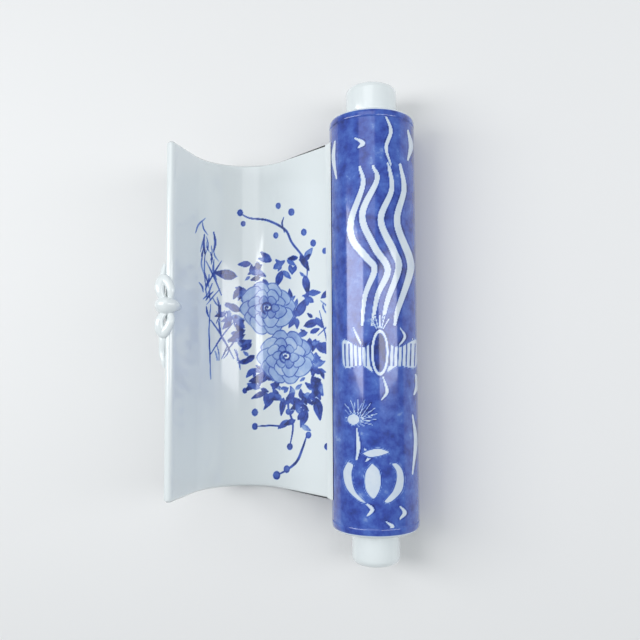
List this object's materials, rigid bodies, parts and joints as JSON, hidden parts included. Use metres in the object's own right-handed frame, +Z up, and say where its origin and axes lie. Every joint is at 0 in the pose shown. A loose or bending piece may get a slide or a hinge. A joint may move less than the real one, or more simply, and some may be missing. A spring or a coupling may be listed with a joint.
{
  "type": "scroll-form brush rest",
  "caption": "Half-unrolled handscroll in blue and white porcelain: a curved painted trough for brushes, a hollow blue roll with end knobs, and a moulded tie.",
  "frame": {"origin": "on the desk, under the middle of the piece's footprint", "axes": "+Z up from the desk, +Y along the roll towards its upper end in the picture, +X from the free edge of the sheet to the roll"},
  "size_m": [0.146, 0.2784, 0.0694],
  "materials": {
    "white_glaze": "white porcelain under a clear gloss glaze, slightly blue-green",
    "cobalt_glaze": "mottled cobalt-blue ground with white reserves under a clear gloss glaze"
  },
  "bodies": {
    "root": {"scroll_sheet": "white_glaze", "roll_tube": "cobalt_glaze", "luting_fillet_front": "white_glaze", "luting_fillet_back": "white_glaze", "roll_end_upper": "white_glaze", "roll_end_lower": "white_glaze", "knob_upper": "white_glaze", "knob_lower": "white_glaze", "tie_knot": "white_glaze", "tie_loop_upper": "white_glaze", "tie_loop_lower": "white_glaze", "tie_tail_upper": "white_glaze", "tie_tail_lower": "white_glaze"}
  },
  "joints": []
}
